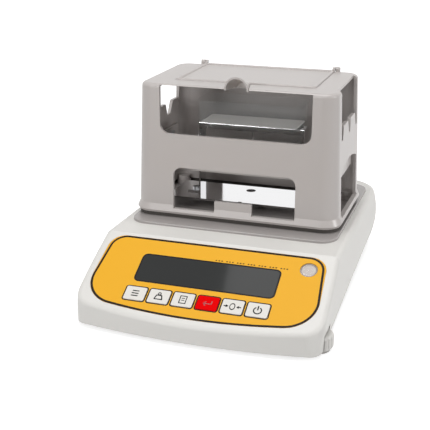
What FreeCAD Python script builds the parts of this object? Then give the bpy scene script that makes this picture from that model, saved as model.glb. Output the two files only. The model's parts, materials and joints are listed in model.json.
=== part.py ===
import FreeCAD, Part
import math
import os

os.makedirs("parts", exist_ok=True)
V = FreeCAD.Vector

# Benchtop density meter: a balance with a sloping key panel, and on its platform a moulded
# measuring stand with windows, a lid, a water tank and a weigh bridge that rests on the load cell.
# Lengths are millimetres. X points right, -Y is the front, Z is up and zero is the table.

# Fits shared by all pieces
gap = 0.3
close_gap = 0.1
pin_slip = 0.07
over = 2.0
reach = 400.0

# Balance case
case_front = 134.5
case_rear = 134.5
case_top = 53.7
case_wall = 2.4
case_lift = 3.2
case_waist = 24.0
waist_half_front = 93.0
waist_half_rear = 91.0
base_in_front = 1.0
base_in_rear = 7.0
base_in_back = 4.5
top_in_front = 1.5
top_in_rear = 2.5
top_in_back = 3.0
front_bow = 8.5
corner_low = 10.0
corner_front = 26.0
corner_rear = 33.0
case_edge = 4.0

# Slope of the case and the panel on it, measured down from the edge where slope and top meet
slope_angle = 27.84
slope_back = 64.8
panel_drop = 3.25
panel_height = 69.8
panel_half = 87.0
panel_lean = 3.0
panel_bow = 8.0
panel_corner_low = 24.0
panel_corner_high = 12.5
panel_sink = 0.9
panel_thick = 0.8

# Display
window_drop = 16.4
window_height = 24.6
window_width = 104.8
window_corner = 3.0
window_ledge = 3.0
lens_thick = 0.75
lcd_margin = 1.0
lcd_thick = 5.8

# Keys
key_count = 6
key_names = ("key_function", "key_calibrate", "key_print", "key_enter", "key_zero", "key_power")
key_drop = 6.6
key_width = 15.66
key_height = 11.96
key_pitch = 18.41
key_row_shift = -1.2
key_corner = 1.2
key_proud = 0.45
key_cap_thick = 1.1
key_travel = 0.4
key_gap = 0.3
key_flange = 0.7
key_flange_thick = 0.8
key_stem_radius = 2.5
key_stem_length = 4.0
board_thick = 1.6
switch_size = 6.0
switch_height = 2.9
plunger_radius = 1.7
plunger_height = 0.7
key_board_margin = 6.5
key_board_lip = 2.0
post_radius = 2.4
board_screw_radius = 1.2
board_screw_head = 2.2
board_screw_head_height = 1.0
board_screw_length = 4.4

# Spirit level
level_drop = 11.9
level_side = 72.0
level_radius = 6.2
level_slip = 0.26
level_depth = 6.0
level_wall = 0.9
level_flange = 2.0
level_flange_thick = 1.3
level_dome = 1.5

# Main board
main_left = -62.0
main_width = 88.0
main_front = -97.0
main_depth = 50.0
main_height = 6.4
main_inset = 5.0
chip_height = 2.0
chip_size = 12.0
chip_offset = 18.0

# Battery behind a cover in the tray
battery_right = 67.0
battery_clear = 3.0
battery_front = -92.0
battery_depth = 46.0
battery_height = 19.0
cover_margin = 3.0
cover_thick = 2.0
cover_lip = 2.0

# Screws that close the case
case_screw_x = 76.0
case_screw_front = -34.0
case_screw_rear = 76.0
boss_radius = 4.5
screw_radius = 1.5
screw_head = 3.2
screw_head_height = 1.4
screw_length = 16.0

# Levelling feet
foot_front_x = 85.0
foot_front_y = -105.0
foot_rear_x = 71.5
foot_rear_y = 108.5
foot_radius = 12.0
foot_wheel_height = 11.1
foot_pad_height = 1.4
foot_pad_inset = 2.0
foot_rim = 2.4
foot_room = 1.2
foot_roof = 2.0
tower_wall = 2.2
tower_roof = 2.8
flute_count = 20
flute_radius = 1.1
flute_depth = 0.5
stud_radius = 2.5
stud_length = 13.0
insert_radius = 3.6
insert_height = 8.0
insert_boss = 2.5

# Sockets in the back
jack_x = -50.0
jack_width = 10.0
jack_height = 12.0
jack_depth = 13.0
jack_radius = 4.4
jack_bore = 3.0
jack_pin = 1.0
port_x = 20.0
port_width = 31.0
port_height = 12.5
port_depth = 11.0
nose_width = 17.6
nose_height = 8.4
nose_wall = 0.8
nose_corner = 2.0
socket_z = 26.0
socket_inset = 0.3
socket_back = 1.2
socket_bore = 6.0

# Load cell and what it carries
hub_y = 23.7
cell_left = -48.0
cell_length = 94.0
cell_side = 18.0
cell_hole = 5.2
cell_hole_spread = 9.0
cell_slot = 1.6
bracket_length = 30.0
bracket_height = 9.7
cell_screw_radius = 2.0
cell_screw_head = 3.6
cell_screw_head_height = 3.0
cell_screw_reach = 8.4
cell_screw_slip = 0.6
cell_screw_edge = 8.0
cell_screw_pitch = 13.0
weigh_travel = 0.3
weigh_gap = 0.7
stop_radius = 2.5
stop_gap = 0.8
spider_left = -14.0
spider_short = 2.0
spider_width = 24.0
spider_thick = 5.0
hub_post_radius = 6.0
hub_flange_radius = 11.0
hub_flange_thick = 1.5
hub_hole = 9.0
hub_collar = 2.0
hub_collar_height = 2.5

# Platform plate on the case
platform_margin = 0.7
platform_front = 42.9
platform_depth = 152.0
platform_thick = 2.1
platform_corner = 14.0
platform_edge = 0.8

# Measuring stand
stand_half = 82.3
stand_shift = -1.4
stand_front = 26.1
stand_depth = 99.6
stand_lift = 3.1
stand_height = 103.5
stand_draft = 1.8
side_draft = 4.1
stand_corner = 13.0
stand_wall = 2.6
stand_edge = 3.2
roof_thick = 2.2
side_seam = 66.0
rim_out = 1.9
rim_low_out = 0.9
rim_low = 1.9
rim_high = 6.9
stand_foot_radius = 6.0
stand_foot_in = 8.4
column_radius = 5.0
column_height = 4.2
stand_screw_radius = 1.6
stand_screw_head = 3.2
stand_screw_head_height = 1.2
stand_screw_reach = 3.5

# Openings of the stand, heights from the bottom of its rim
window_half = 60.3
lip_thick = 0.8
lip_depth = 8.0
sill_height = 64.7
sill_corner = 8.0
door_half = 49.5
door_low = 4.4
door_high = 38.2
door_corner = 7.0
tab_half = 15.2
tab_height = 9.0
rear_left = 40.0
rear_sill = 11.5
side_open_half = 38.0
arch_half = 31.7
arch_spring = 38.9
arch_rise = 5.5
tooth_count = 3
tooth_pitch = 29.7
tooth_base = 23.0
tooth_top = 13.0
tooth_height = 10.5
right_open_half = 31.6
right_open_shift = 1.6
right_tooth_count = 2
right_tooth_pitch = 29.0
right_tooth_base = 24.0
right_tooth_top = 18.0

# Lid, its finger hood and its hinge
lid_half = 56.3
lid_front = 4.0
lid_depth = 73.8
lid_thick = 1.8
lid_gap = 0.35
lid_corner = 2.0
ledge_in = 2.2
ledge_out = 2.4
ledge_thick = 1.4
hood_radius = 9.6
hood_wall = 1.4
hood_sink = 0.85
hood_root = 6.0
hood_end_half = 4.0
hood_end_rise = 1.0
hinge_back = 2.6
hinge_rise = 1.9
knuckle_radius = 1.6
hinge_pin = 0.7
ear_width = 2.0
ear_gap = 0.4
ear_root = 3.0
knuckle_width = 3.4

# Shelf and water tank
shelf_height = 30.9
shelf_thick = 2.4
shelf_half_depth = 30.0
shelf_side_gap = 0.4
shelf_flange = 20.6
leg_room = 2.2
shelf_screw_rise = 17.0
shelf_screw_y = 16.0
shelf_screw_head = 2.8
shelf_screw_head_height = 1.2
tank_half = 39.0
tank_half_depth = 29.0
tank_height = 26.3
tank_wall = 2.0
tank_rim = 1.2
tank_rim_height = 2.0
tank_corner = 4.0

# Weigh bridge
plate_half = 66.0
plate_half_depth = 22.5
plate_thick = 1.5
plate_corner = 3.0
plate_rise = 6.7
plate_hole = 4.0
plate_hole_x = -4.0
plate_hole_back = 10.5
plate_notch = 3.0
bridge_half = 44.0
bridge_half_depth = 7.0
bridge_rise = 60.2
bridge_sheet = 1.2
bridge_flange = 4.8
bridge_toe = 10.0
toe_hole_in = 5.0
bridge_screw_head = 3.0
bridge_screw_head_height = 1.6
bridge_screw_slip = 0.1
peg_radius = 1.0
peg_drop = 2.5

# Hanging basket
ring_radius = 2.4
ring_bore = 1.4
ring_thick = 3.0
wire_radius = 0.9
basket_radius = 21.0
basket_thick = 1.2
basket_rim = 2.4
basket_rim_wall = 1.0
basket_clear = 2.6
basket_hole = 2.2
basket_hole_ring = 13.0
basket_hole_count = 8

# Clear tray on the bridge
tray_half = 42.0
tray_half_depth = 17.5
tray_tall = 20.0
tray_wall = 1.8
tray_lip = 1.5
tray_lip_height = 1.6
tray_corner = 4.0

# Heights and places that follow from the sizes above
floor_top = case_lift + case_wall
platform_top = case_top + platform_thick
stand_low = platform_top + stand_lift
stand_top = stand_low + stand_height
stand_rear = stand_depth - stand_front
battery_left = main_left + main_width + battery_clear
battery_width = battery_right - battery_left
spider_right = cell_left + cell_length - spider_short
platform_half = stand_half + platform_margin
hood_front = stand_draft - stand_front
hood_end = hood_root - lid_front
hood_middle = stand_top - hood_sink
sill_z = stand_low + sill_height
roof_low = stand_top - roof_thick
panel_high = -panel_drop
panel_low = panel_high - panel_height
window_high = panel_high - window_drop
window_low = window_high - window_height
key_high = window_low - key_drop
key_low = key_high - key_height
key_mid = (key_high + key_low) / 2
key_first = key_row_shift - key_pitch * (key_count - 1) / 2
key_bottom = key_proud - key_cap_thick
flange_top = -case_wall - gap
flange_low = flange_top - key_flange_thick
stem_low = flange_low - key_stem_length + key_cap_thick
board_top = stem_low - close_gap - key_travel - plunger_height - switch_height
hinge_y = stand_rear - stand_draft + hinge_back - ear_root
hinge_z = stand_top + hinge_rise
plate_low = platform_top + plate_rise + gap
plate_top = plate_low + plate_thick
bridge_top = plate_top + bridge_rise
shelf_low = stand_low + shelf_height
shelf_top = shelf_low + shelf_thick
feet = {
    "front_left": (-foot_front_x, foot_front_y),
    "front_right": (foot_front_x, foot_front_y),
    "rear_left": (-foot_rear_x, foot_rear_y),
    "rear_right": (foot_rear_x, foot_rear_y),
}
stand_feet_places = [
    (stand_shift + side * (stand_half - stand_foot_in), y)
    for side in (-1, 1)
    for y in (stand_foot_in - stand_front, stand_rear - stand_foot_in)
]
case_screw_places = [
    (side * case_screw_x, y) for side in (-1, 1) for y in (case_screw_front, case_screw_rear)
]


def block(x0, x1, y0, y1, z0, z1):
    """Box between two corners."""
    return Part.makeBox(x1 - x0, y1 - y0, z1 - z0, V(x0, y0, z0))


def disc(x, y, z0, z1, radius):
    """Upright cylinder."""
    return Part.makeCylinder(radius, z1 - z0, V(x, y, z0))


def bar_x(x0, x1, y, z, radius):
    """Cylinder along X."""
    return Part.makeCylinder(radius, x1 - x0, V(x0, y, z), V(1, 0, 0))


def bar_y(x, y0, y1, z, radius):
    """Cylinder along Y."""
    return Part.makeCylinder(radius, y1 - y0, V(x, y0, z), V(0, 1, 0))


def joined(shapes):
    """All shapes as one body."""
    first, *rest = shapes
    return first.fuse(rest).removeSplitter() if rest else first


def without(shape, cutters):
    """The shape with every cutter taken away."""
    for cutter in cutters:
        shape = shape.cut(cutter)
    return shape


def along(edge, axis):
    """True where a straight or leaning edge runs mostly along an axis, 0 for X, 1 for Y, 2 for Z."""
    step = edge.Vertexes[-1].Point - edge.Vertexes[0].Point
    parts = [abs(step.x), abs(step.y), abs(step.z)]
    main = parts.pop(axis)
    return main > sum(parts)


def rounded(x0, x1, y0, y1, z0, z1, radius):
    """Box with its four upright edges rounded."""
    solid = block(x0, x1, y0, y1, z0, z1)
    return solid.makeFillet(radius, [e for e in solid.Edges if along(e, 2)])


def tilt(shape):
    """Take a piece from the flat panel drawing to its place on the slope."""
    shape.rotate(V(0, 0, 0), V(1, 0, 0), slope_angle)
    shape.translate(V(0, -slope_back, case_top))
    return shape


def above_slope(drop):
    """Everything above a plane that lies under the slope by drop."""
    return tilt(block(-reach, reach, -reach, reach, -drop, reach))


def ring_wire(front, rear, half_front, half_rear, bow, z):
    """Outline with a bowed front, straight sides that draw in towards the rear and sharp corners."""
    left = V(-half_front, bow - front, z)
    right = V(half_front, bow - front, z)
    back_right = V(half_rear, rear, z)
    back_left = V(-half_rear, rear, z)
    return Part.Wire([
        Part.Arc(left, V(0, -front, z), right).toShape(),
        Part.makeLine(right, back_right),
        Part.makeLine(back_right, back_left),
        Part.makeLine(back_left, left),
    ])


def case_form(inset):
    """The outer form of the case, or the hollow inside it when inset is the wall."""
    levels = (
        (case_lift, base_in_front, base_in_rear, base_in_back),
        (case_waist, 0, 0, 0),
        (case_top, top_in_front, top_in_rear, top_in_back),
    )
    rings = []
    for z, in_front, in_rear, in_back in levels:
        rings.append(ring_wire(
            case_front - inset,
            case_rear - in_back - inset,
            waist_half_front - in_front - inset,
            waist_half_rear - in_rear - inset,
            front_bow,
            z,
        ))
    form = Part.makeLoft(rings, True, False)
    rears = [e for e in form.Edges if along(e, 2) and e.CenterOfMass.y > 0]
    form = form.makeFillet(corner_rear - inset, rears)
    fronts = [e for e in form.Edges if along(e, 2) and e.CenterOfMass.y < front_bow * 2 - case_front]
    for edge in fronts:
        same = [e for e in form.Edges if (e.CenterOfMass - edge.CenterOfMass).Length < gap]
        rising = same[0].Vertexes[-1].Z > same[0].Vertexes[0].Z
        ends = (corner_low - inset, corner_front - inset)
        form = form.makeFillet(*(ends if rising else ends[::-1]), same)
    return form


def case_outer():
    """The case with its slope cut and the edges of slope and top rounded."""
    form = case_form(0).cut(above_slope(0))
    ups = []
    for face in form.Faces:
        u0, u1, v0, v1 = face.ParameterRange
        if face.normalAt((u0 + u1) / 2, (v0 + v1) / 2).z > math.cos(math.radians(2 * slope_angle)):
            ups.append(face)
    seen = {}
    for face in ups:
        for edge in face.Edges:
            seen.setdefault(edge.hashCode(), []).append(edge)
    return form.makeFillet(case_edge, [found[0] for found in seen.values() if len(found) == 1])


def case_hollow():
    """The room inside the upper case, open at the bottom."""
    room = case_form(case_wall).cut(above_slope(case_wall))
    return room.common(block(-reach, reach, -reach, reach, 0, case_top - case_wall))


def foot_ceiling():
    """Height of the pocket over each levelling wheel."""
    return foot_pad_height + foot_wheel_height + foot_roof


def panel_wire(grow, w):
    """Outline of the front panel in its own plane, with a bowed lower edge."""
    half_low = panel_half + grow
    half_high = panel_half - panel_lean + grow
    low = panel_low - grow
    high = panel_high + grow
    left = V(-half_low, low + panel_bow, w)
    right = V(half_low, low + panel_bow, w)
    edges = [
        Part.Arc(left, V(0, low, w), right).toShape(),
        Part.makeLine(right, V(half_high, high, w)),
        Part.makeLine(V(half_high, high, w), V(-half_high, high, w)),
        Part.makeLine(V(-half_high, high, w), left),
    ]
    return Part.Wire(edges)


def panel_blank(grow, w0, w1):
    """The panel outline raised from w0 to w1, corners rounded."""
    blank = Part.Face(panel_wire(grow, w0)).extrude(V(0, 0, w1 - w0))
    lows = [e for e in blank.Edges if along(e, 2) and e.CenterOfMass.y < key_mid]
    blank = blank.makeFillet(panel_corner_low + grow, lows)
    highs = [e for e in blank.Edges if along(e, 2) and e.CenterOfMass.y > window_high]
    return blank.makeFillet(panel_corner_high + grow, highs)


def window_blank(grow, w0, w1):
    """The display window's outline raised from w0 to w1."""
    half = window_width / 2 + grow
    return rounded(-half, half, window_low - grow, window_high + grow, w0, w1, window_corner)


def key_x(index):
    return key_first + key_pitch * index


def key_blank(index, grow, w0, w1):
    """One key's outline raised from w0 to w1."""
    half = key_width / 2 + grow
    x = key_x(index)
    return rounded(x - half, x + half, key_low - grow, key_high + grow, w0, w1, key_corner)


def key_posts():
    """Places of the four posts that hold the key board, in the panel's plane."""
    half = key_pitch * key_count / 2 + key_board_margin - post_radius
    return [
        (key_row_shift + side * half, v)
        for side in (-1, 1)
        for v in (key_low + post_radius, key_high - post_radius)
    ]


def bottom_tray():
    """Flat floor set inside the skirt of the upper case, with a round housing over each foot."""
    room = case_form(case_wall + gap)
    ceiling = foot_ceiling()
    boss_top = ceiling + tower_roof + insert_height - gap
    solids = [block(-reach, reach, -reach, reach, case_lift, floor_top).common(room)]
    cutters = []
    for x, y in feet.values():
        housing = disc(x, y, case_lift, ceiling + tower_roof, foot_radius + foot_room + tower_wall)
        boss = disc(x, y, ceiling, boss_top, insert_radius + insert_boss)
        solids.append(joined([housing, boss]).common(room))
        cutters.append(disc(x, y, 0, ceiling, foot_radius + foot_room))
        cutters.append(disc(x, y, 0, reach, insert_radius))
    for x, y in main_posts():
        solids.append(disc(x, y, floor_top - over, floor_top + main_height, post_radius))
        cutters.append(disc(x, y, floor_top, reach, board_screw_radius + close_gap))
    for x, y in case_screw_places:
        cutters.append(disc(x, y, 0, floor_top + over, screw_radius + gap))
        cutters.append(disc(x, y, 0, case_lift + screw_head_height, screw_head + gap))
    stop_x, stop_y = stop_place()
    solids.append(disc(stop_x, stop_y, floor_top - over, floor_top + stop_radius, 2 * stop_radius))
    cutters.append(disc(stop_x, stop_y, floor_top, reach, stop_radius + close_gap))
    cutters.append(battery_cover_blank(gap, 0, case_lift + cover_thick + close_gap))
    cutters.append(block(
        battery_left, battery_left + battery_width, battery_front, battery_front + battery_depth,
        0, floor_top + over,
    ))
    return without(joined(solids), cutters)


def top_case():
    """Upper case: its skirt reaches down round the floor and is notched where a wheel stands out."""
    solid = case_outer().cut(case_hollow())
    adds = [disc(x, y, floor_top + gap, case_top - case_wall / 2, boss_radius) for x, y in case_screw_places]
    for u, v in key_posts():
        adds.append(tilt(disc(u, v, board_top, -case_wall / 2, post_radius)))
    solid = solid.fuse(adds)
    cutters = [disc(x, y, 0, case_lift + screw_length + over, screw_radius + close_gap) for x, y in case_screw_places]
    cutters.append(tilt(panel_blank(close_gap, -panel_sink, over)))
    cutters.append(tilt(window_blank(-window_ledge, -reach / 8, 0)))
    for index in range(key_count):
        cutters.append(tilt(key_blank(index, key_gap, -case_wall - over, 0)))
    for u, v in key_posts():
        cutters.append(tilt(disc(u, v, board_top - over, board_top + board_screw_length, board_screw_radius + close_gap)))
    cutters.append(tilt(disc(level_side, panel_high - level_drop, -level_depth, 0, level_radius + level_slip)))
    cutters.append(disc(0, hub_y, 0, reach, hub_hole))
    cutters.append(jack_blank(gap))
    cutters.append(port_nose(gap, case_rear - case_wall - over, case_rear + over))
    for x, y in feet.values():
        cutters.append(disc(x, y, 0, foot_ceiling(), foot_radius + foot_room))
    return without(solid, cutters)


def front_panel():
    panel = panel_blank(0, -panel_sink + (panel_sink - panel_thick) / 2, -(panel_sink - panel_thick) / 2)
    cutters = [window_blank(gap, -over, over)]
    cutters += [key_blank(index, key_gap, -over, over) for index in range(key_count)]
    cutters.append(disc(level_side, panel_high - level_drop, -over, over, level_radius + level_slip))
    return tilt(without(panel, cutters))


def display_lens():
    return tilt(window_blank(0, close_gap - panel_sink, close_gap - panel_sink + lens_thick))


def lcd_module():
    half = window_width / 2 - lcd_margin
    top = -case_wall - gap
    body = block(-half, half, window_low + lcd_margin, window_high - lcd_margin, top - lcd_thick, top)
    inner = window_ledge + lcd_margin
    edge = window_width / 2 - inner
    glass = block(-edge, edge, window_low + inner, window_high - inner, top - over / 2, top + over)
    return tilt(body.cut(glass))


def key(index):
    """Key cap that shows in the panel, with the flange that keeps it in and the stem below it."""
    x = key_x(index)
    cap = key_blank(index, 0, key_bottom, key_proud)
    top_edges = [e for e in cap.Edges if abs(e.CenterOfMass.z - key_proud) < close_gap]
    cap = cap.makeFillet(key_proud / 2, top_edges)
    neck = key_blank(index, -key_gap, flange_low, key_bottom)
    flange = key_blank(index, key_flange, flange_low, flange_top)
    stem = disc(x, key_mid, stem_low, flange_low, key_stem_radius)
    return tilt(joined([cap, neck, flange, stem]))


def key_board():
    half = key_pitch * key_count / 2 + key_board_margin
    low = key_low - key_board_lip
    high = key_high + key_board_lip
    board = block(key_row_shift - half, key_row_shift + half, low, high, board_top - board_thick, board_top)
    holes = [disc(u, v, board_top - over, board_top + over, board_screw_radius + close_gap) for u, v in key_posts()]
    return tilt(without(board, holes))


def key_switches():
    bodies = []
    for index in range(key_count):
        x = key_x(index)
        half = switch_size / 2
        box = block(x - half, x + half, key_mid - half, key_mid + half, board_top, board_top + switch_height)
        top = board_top + switch_height + plunger_height
        bodies.append(tilt(joined([box, disc(x, key_mid, board_top + switch_height, top, plunger_radius)])))
    return Part.makeCompound(bodies)


def level_cup():
    v = panel_high - level_drop
    top = close_gap - panel_sink
    cup = disc(level_side, v, -level_depth, top, level_radius)
    flange = disc(level_side, v, -case_wall - gap - level_flange_thick, -case_wall - gap, level_radius + level_flange)
    hollow = disc(level_side, v, level_wall - level_depth, top, level_radius - level_wall)
    return tilt(joined([cup, flange]).cut(hollow))


def level_fluid():
    v = panel_high - level_drop
    low = level_wall - level_depth
    return tilt(disc(level_side, v, low, -panel_sink, level_radius - level_wall - close_gap))


def level_lens():
    v = panel_high - level_drop
    low = 2 * close_gap - panel_sink
    dome_radius = (level_radius ** 2 + level_dome ** 2) / (2 * level_dome)
    skirt = disc(level_side, v, low, 0, level_radius)
    ball = Part.makeSphere(dome_radius, V(level_side, v, level_dome - dome_radius))
    cap = ball.common(disc(level_side, v, 0, level_dome + over, level_radius))
    return tilt(joined([skirt, cap]))


def main_posts():
    xs = (main_left + main_inset, main_left + main_width - main_inset)
    ys = (main_front + main_inset, main_front + main_depth - main_inset)
    return [(x, y) for x in xs for y in ys]


def main_board():
    low = floor_top + main_height
    board = block(main_left, main_left + main_width, main_front, main_front + main_depth, low, low + board_thick)
    half = chip_size / 2
    mid_y = main_front + main_depth / 2
    top = low + board_thick
    chips = []
    for step in (-1, 0, 1):
        x = main_left + main_width / 2 + step * chip_offset
        chips.append(block(x - half, x + half, mid_y - half, mid_y + half, top - close_gap, top + chip_height))
    holes = [disc(x, y, 0, reach, board_screw_radius + close_gap) for x, y in main_posts()]
    return without(joined([board] + chips), holes)


def board_screws():
    """Four screws of the main board and four of the key board."""
    screws = []
    for x, y in main_posts():
        top = floor_top + main_height + board_thick
        head = disc(x, y, top, top + board_screw_head_height, board_screw_head)
        screws.append(joined([head, disc(x, y, top - board_screw_length, top, board_screw_radius)]))
    for u, v in key_posts():
        low = board_top - board_thick
        head = disc(u, v, low - board_screw_head_height, low, board_screw_head)
        shank = disc(u, v, low, low + board_screw_length, board_screw_radius)
        screws.append(tilt(joined([head, shank])))
    return Part.makeCompound(screws)


def battery_cover_blank(grow, z0, z1):
    margin = cover_margin + grow
    return block(
        battery_left - margin, battery_left + battery_width + margin,
        battery_front - margin, battery_front + battery_depth + margin, z0, z1,
    )


def battery():
    low = floor_top + gap
    solid = block(
        battery_left + gap, battery_left + battery_width - gap,
        battery_front + gap, battery_front + battery_depth - gap, low, low + battery_height,
    )
    return solid.makeFillet(over, [e for e in solid.Edges if along(e, 2)])


def battery_cover():
    plate = battery_cover_blank(0, case_lift, case_lift + cover_thick)
    lip = block(
        battery_left + gap, battery_left + battery_width - gap,
        battery_front + gap, battery_front + battery_depth - gap,
        case_lift + cover_thick - close_gap, floor_top,
    )
    return joined([plate, lip])


def case_screws():
    screws = []
    for x, y in case_screw_places:
        head = disc(x, y, case_lift, case_lift + screw_head_height - close_gap, screw_head)
        shank = disc(x, y, case_lift, case_lift + screw_length, screw_radius)
        screws.append(joined([head, shank]))
    return Part.makeCompound(screws)


def foot_wheel(place):
    """Fluted levelling wheel with its stud, as one turned piece."""
    x, y = place
    low = foot_pad_height + close_gap
    high = foot_pad_height + foot_wheel_height
    wheel = disc(x, y, low, high, foot_radius)
    wheel = wheel.makeFillet(foot_rim, [e for e in wheel.Edges if e.Length > foot_radius * math.pi])
    flutes = []
    for step in range(flute_count):
        turn = 2 * math.pi * step / flute_count
        away = foot_radius + flute_radius - flute_depth
        flutes.append(disc(x + away * math.cos(turn), y + away * math.sin(turn), 0, high + over, flute_radius))
    wheel = wheel.cut(Part.makeCompound(flutes))
    return joined([wheel, disc(x, y, high, high + stud_length, stud_radius)])


def foot_pad(place):
    x, y = place
    return disc(x, y, 0, foot_pad_height, foot_radius - foot_pad_inset)


def foot_inserts():
    low = foot_pad_height + foot_wheel_height + foot_roof
    rings = []
    for x, y in feet.values():
        outer = disc(x, y, low, low + insert_height, insert_radius - close_gap)
        rings.append(outer.cut(disc(x, y, 0, reach, stud_radius + pin_slip)))
    return Part.makeCompound(rings)


def jack_blank(grow):
    half_width = jack_width / 2 + grow
    half_height = jack_height / 2 + grow
    body = block(
        jack_x - half_width, jack_x + half_width, case_rear - case_wall - jack_depth - grow,
        case_rear - case_wall - socket_back + grow, socket_z - half_height, socket_z + half_height,
    )
    nose = bar_y(jack_x, case_rear - case_wall - over, case_rear + over, socket_z, jack_radius + grow)
    return joined([body, nose])


def dc_jack():
    half_width = jack_width / 2
    half_height = jack_height / 2
    back = case_rear - case_wall - socket_back
    front = case_rear - case_wall - jack_depth
    body = block(jack_x - half_width, jack_x + half_width, front, back, socket_z - half_height, socket_z + half_height)
    nose = bar_y(jack_x, back, case_rear - socket_inset, socket_z, jack_radius)
    bore = bar_y(jack_x, case_rear - socket_bore, case_rear + over, socket_z, jack_bore)
    pin = bar_y(jack_x, case_rear - socket_bore - over, case_rear - over / 2, socket_z, jack_pin)
    return joined([joined([body, nose]).cut(bore), pin])


def port_nose(grow, y0, y1):
    half = nose_width / 2 + grow
    high = nose_height / 2 + grow
    solid = block(port_x - half, port_x + half, y0, y1, socket_z - high, socket_z + high)
    return solid.makeFillet(nose_corner + grow, [e for e in solid.Edges if along(e, 1)])


def serial_port():
    back = case_rear - case_wall - socket_back
    half = port_width / 2
    high = port_height / 2
    body = block(port_x - half, port_x + half, back - port_depth, back, socket_z - high, socket_z + high)
    nose = port_nose(0, back - over, case_rear - socket_inset)
    hollow = port_nose(-nose_wall, case_rear - socket_bore, case_rear + over)
    pins = []
    for step in range(-2, 3):
        x = port_x + step * nose_width / 7
        pins.append(bar_y(x, case_rear - socket_bore - over, case_rear - 2 * over, socket_z, nose_wall / 2))
    return joined([joined([body, nose]).cut(hollow)] + pins)


def cell_low():
    return floor_top + close_gap + bracket_height + close_gap


def load_cell():
    """Bending beam: two round holes joined by a slot make its thin flexing walls."""
    low = cell_low()
    half = cell_side / 2
    beam = block(cell_left, cell_left + cell_length, hub_y - half, hub_y + half, low, low + cell_side)
    mid = low + half
    centre = cell_left + cell_length / 2
    cutters = [
        bar_y(centre + side * cell_hole_spread, hub_y - cell_side, hub_y + cell_side, mid, cell_hole)
        for side in (-1, 1)
    ]
    cutters.append(block(
        centre - cell_hole_spread, centre + cell_hole_spread, hub_y - cell_side, hub_y + cell_side,
        mid - cell_slot / 2, mid + cell_slot / 2,
    ))
    for x in fixed_screws():
        cutters.append(disc(x, hub_y, 0, low + cell_screw_reach + gap, cell_screw_radius + close_gap))
    for x in free_screws():
        away = low + cell_side - cell_screw_reach - cell_screw_slip
        cutters.append(disc(x, hub_y, away, reach, cell_screw_radius + cell_screw_slip))
    return without(beam, cutters)


def fixed_screws():
    first = cell_left + cell_screw_edge
    return (first, first + cell_screw_pitch)


def free_screws():
    last = cell_left + cell_length - cell_screw_edge
    return (last - cell_screw_pitch, last)


def cell_bracket():
    half = cell_side / 2
    low = floor_top + close_gap
    solid = block(cell_left, cell_left + bracket_length, hub_y - half, hub_y + half, low, low + bracket_height)
    cutters = []
    for x in fixed_screws():
        cutters.append(disc(x, hub_y, 0, reach, cell_screw_radius + close_gap))
        cutters.append(disc(x, hub_y, 0, low + cell_screw_head_height + close_gap, cell_screw_head + close_gap))
    return without(solid, cutters)


def cell_screws():
    low = floor_top + close_gap
    screws = []
    for x in fixed_screws():
        head = disc(x, hub_y, low, low + cell_screw_head_height, cell_screw_head)
        screws.append(joined([head, disc(x, hub_y, low, cell_low() + cell_screw_reach, cell_screw_radius)]))
    return Part.makeCompound(screws)


def stop_place():
    return free_screws()[1], hub_y


def overload_stop():
    x, y = stop_place()
    screw = disc(x, y, floor_top + close_gap, cell_low() - stop_gap, stop_radius)
    slot = block(x - cell_slot / 2, x + cell_slot / 2, y - stop_radius, y + stop_radius, cell_low() - 2 * stop_gap, reach)
    return screw.cut(slot)


def spider_low():
    return cell_low() + cell_side + weigh_gap


def load_spider():
    half = spider_width / 2
    low = spider_low()
    plate = rounded(spider_left, spider_right, hub_y - half, hub_y + half, low, low + spider_thick, boss_radius)
    holes = [disc(x, hub_y, 0, reach, cell_screw_radius + close_gap) for x in free_screws()]
    return without(plate, holes)


def spider_screws():
    top = spider_low() + spider_thick
    low = cell_low() + cell_side - cell_screw_reach
    screws = []
    for x in free_screws():
        head = disc(x, hub_y, top, top + cell_screw_head_height, cell_screw_head)
        screws.append(joined([head, disc(x, hub_y, low, top, cell_screw_radius)]))
    return Part.makeCompound(screws)


def hub_post():
    low = spider_low() + spider_thick
    post = disc(0, hub_y, low, plate_low, hub_post_radius)
    flange = disc(0, hub_y, plate_low - hub_flange_thick, plate_low, hub_flange_radius)
    return joined([post, flange])


def platform_plate():
    y0 = -platform_front
    plate = rounded(
        -platform_half, platform_half, y0, y0 + platform_depth, case_top, platform_top, platform_corner,
    )
    tops = [e for e in plate.Edges if abs(e.CenterOfMass.z - platform_top) < close_gap]
    plate = plate.makeFillet(platform_edge, tops)
    collar = disc(0, hub_y, platform_top - close_gap, platform_top + hub_collar_height, hub_hole + hub_collar)
    cutters = [disc(0, hub_y, 0, reach, hub_hole)]
    for x, y in stand_feet_places:
        cutters.append(disc(x, y, 0, reach, stand_screw_radius + close_gap))
        cutters.append(disc(x, y, 0, case_top + stand_screw_head_height + close_gap, stand_screw_head + close_gap))
    return without(joined([plate, collar]), cutters)


def stand_feet():
    pads = []
    for x, y in stand_feet_places:
        pad = disc(x, y, platform_top, stand_low, stand_foot_radius)
        pads.append(pad.cut(disc(x, y, 0, reach, stand_screw_radius + close_gap)))
    return Part.makeCompound(pads)


def stand_screws():
    screws = []
    for x, y in stand_feet_places:
        head = disc(x, y, case_top, case_top + stand_screw_head_height, stand_screw_head)
        shank = disc(x, y, case_top, stand_low + stand_screw_reach, stand_screw_radius)
        screws.append(joined([head, shank]))
    return Part.makeCompound(screws)


def stand_ring(grow, rise_share, z):
    """Rounded outline of the stand, grown by a named amount and drawn in by its share of the draft."""
    half = stand_half + grow - side_draft * rise_share
    deep = grow - stand_draft * rise_share
    left = stand_shift - half
    right = stand_shift + half
    corner = stand_corner + grow - stand_draft * rise_share
    frame = rounded(left, right, -stand_front - deep, stand_rear + deep, z, z + over, corner)
    return min(frame.Faces, key=lambda face: face.CenterOfMass.z).OuterWire


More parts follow.
